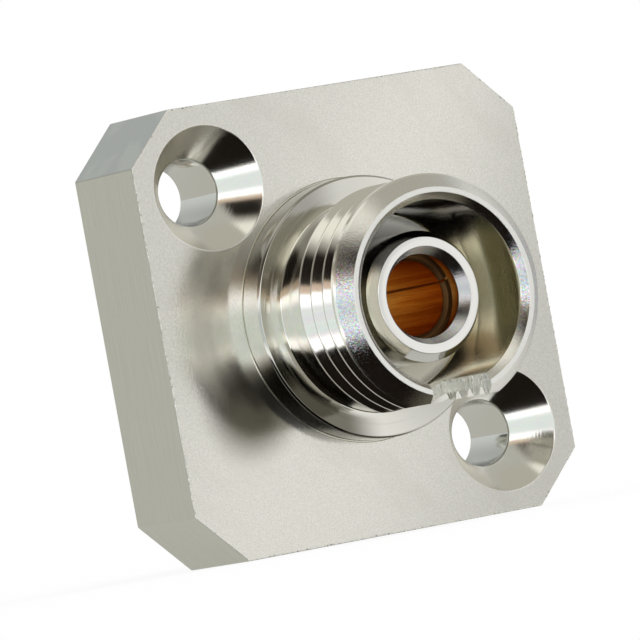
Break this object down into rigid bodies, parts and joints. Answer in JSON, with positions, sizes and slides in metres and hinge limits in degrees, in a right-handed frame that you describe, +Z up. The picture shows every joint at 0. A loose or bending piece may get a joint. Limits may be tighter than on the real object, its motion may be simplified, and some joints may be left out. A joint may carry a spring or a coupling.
{
  "type": "fibre-optic adapter",
  "caption": "Square-flange feed-through fibre-optic adapter with a threaded, keyed barrel on each side and a split sleeve that aligns two ferrules.",
  "frame": {"origin": "on the barrels' common axis, in the middle of the flange's thickness", "axes": "+Y along the barrel axis from the front barrel, on the countersunk side, to the rear barrel; +Z up, with both key slots underneath; +X to the right seen from the front"},
  "size_m": [0.0154, 0.0152, 0.0154],
  "materials": {
    "body_nickel": "nickel plated brass, satin flange and bright turned barrels",
    "holder_nickel": "nickel plated brass, fine matte face",
    "sleeve_bronze": "bare phosphor bronze, drawn tube"
  },
  "bodies": {
    "root": {"front_body": "body_nickel", "rear_body": "body_nickel", "front_sleeve_holder": "holder_nickel", "rear_sleeve_holder": "holder_nickel", "split_sleeve": "sleeve_bronze"}
  },
  "joints": []
}
